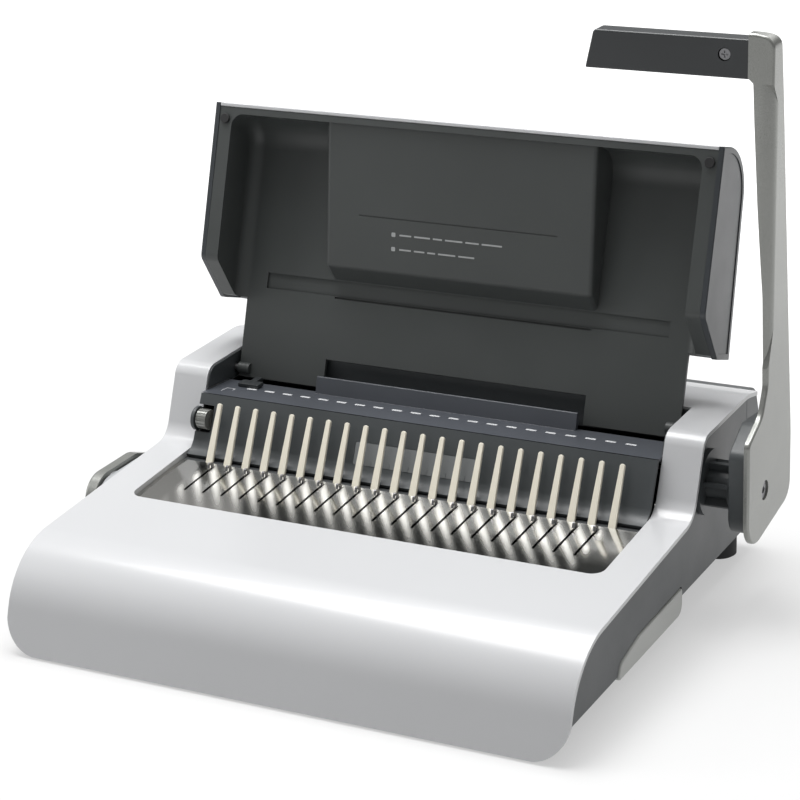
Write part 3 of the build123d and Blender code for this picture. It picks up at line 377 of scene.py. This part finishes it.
def finish_piece(work, name, node):
    """Turn a bmesh into a smooth piece that stands for a CAD node."""
    for face in work.faces:
        face.smooth = True
    mesh = bpy.data.meshes.new(name)
    work.to_mesh(mesh)
    work.free()
    mesh.set_sharp_from_angle(angle=SMOOTH_BELOW)
    piece = bpy.data.objects.new(name, mesh)
    scene.collection.objects.link(piece)
    mesh.materials.append(materials[slot_of_node[node]])
    even = piece.modifiers.new("even_normals", "WEIGHTED_NORMAL")
    even.keep_sharp = True
    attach(piece, body_of_node[node])
    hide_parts(node)


def round_edges(node, width):
    """Replace a CAD piece by a copy with every hard edge rounded by width."""
    work = clean_copy(node)
    hard = [e for e in work.edges if len(e.link_faces) == 2 and e.calc_face_angle(0) > HARD_ABOVE]
    bmesh.ops.bevel(
        work, geom=hard, offset=width, offset_type="OFFSET", segments=BEVEL_STEPS, profile=0.5,
        affect="EDGES", clamp_overlap=True, harden_normals=False,
    )
    finish_piece(work, node + "_finished", node)


# ---- small printed marks, in millimetres --------------------------------------------------
INK_THICKNESS = 0.06
CORNER_SHARE = 0.22  # a mark's corner rounding, as a share of its shorter side
CORNER_POINTS = 3
# a plane is its origin, its direction along X and its direction across
STRIP_PLANE = ((0, 38.3, 111.5), (1, 0, 0), (0, 38.3, -2.9))  # the slope in front of the throat
BLOCK_PLANE = ((0, 97.25, 195.35), (1, 0, 0), (0, 0.1145, 0.9932))  # the lid's middle block
DASH_PLACE, DASH_SIZE = 22.2, (7.4, 2.8)
PAGE_CORNER = [((-157, 17.5), 7.0, 0.5), ((-160.3, 13.4), 0.5, 8.0), ((-153.6, 15.4), 0.5, 4.0)]
BAR_ROWS = {26.5: (9, 12, 7, 13, 10, 15), 16.5: (9, 8, 6, 13, 12)}  # height of a row: lengths of its bars
BAR_START, BAR_GAP, BAR_TALL = -47.5, 2.2, 1.1
SQUARE_SIZE, SQUARE_STEP = 3.0, 4.6


def rounded_corners(centre, wide, tall):
    """Points around a rectangle with rounded corners."""
    (u, v), corner = centre, min(wide, tall) * CORNER_SHARE
    step = math.pi / 2 / (CORNER_POINTS - 1)
    ring = []
    for su, sv in ((-1, -1), (1, -1), (1, 1), (-1, 1)):
        cu, cv = u + su * (wide / 2 - corner), v + sv * (tall / 2 - corner)
        start = math.atan2(sv, su) - math.pi / 4
        for k in range(CORNER_POINTS):
            angle = start + k * step
            ring.append((cu + corner * math.cos(angle), cv + corner * math.sin(angle)))
    return ring


def printed(name, plane, marks, body, ink):
    """Thin raised marks on a plane; each mark is its centre, width and height."""
    origin, along, across = (Vector(v) for v in plane)
    along.normalize()
    across.normalize()
    out = along.cross(across)
    work = bmesh.new()
    for centre, wide, tall in marks:
        spots = [origin + along * a + across * b for a, b in rounded_corners(centre, wide, tall)]
        low = [work.verts.new(spot * MM) for spot in spots]
        high = [work.verts.new((spot + out * INK_THICKNESS) * MM) for spot in spots]
        work.faces.new(high)
        work.faces.new(list(reversed(low)))
        for k in range(len(spots)):
            j = (k + 1) % len(spots)
            work.faces.new((low[k], low[j], high[j], high[k]))
    mesh = bpy.data.meshes.new(name)
    work.to_mesh(mesh)
    work.free()
    piece = bpy.data.objects.new(name, mesh)
    scene.collection.objects.link(piece)
    mesh.materials.append(materials[ink])
    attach(piece, body)


def bar_marks():
    """Rows of plain bars, each led by a small square."""
    marks = []
    for height, lengths in BAR_ROWS.items():
        place = BAR_START
        marks.append(((place, height), SQUARE_SIZE, SQUARE_SIZE))
        place += SQUARE_STEP
        for length in lengths:
            marks.append(((place + length / 2, height), length, BAR_TALL))
            place += length + BAR_GAP
    return marks


def make_marks():
    places = [(i - (HOLES - 1) / 2) * PITCH / MM for i in range(HOLES)]
    dashes = [((x, DASH_PLACE), *DASH_SIZE) for x in places]  # one over every punched hole
    printed("hole_dashes", STRIP_PLANE, dashes, "casing", "print_pale")
    printed("page_corner_mark", STRIP_PLANE, PAGE_CORNER, "casing", "print_pale")
    printed("block_bars", BLOCK_PLANE, bar_marks(), "lid", "print_faint")


# ---- the scene ----------------------------------------------------------------------------
make_camera()
make_light()
make_floor()
make_materials()
for name, node in nodes.items():
    for socket in node.material_slots:
        socket.material = materials[slot_of_node[name]]
for name, width in ROUNDING.items():
    round_edges(name, width * MM)
make_marks()
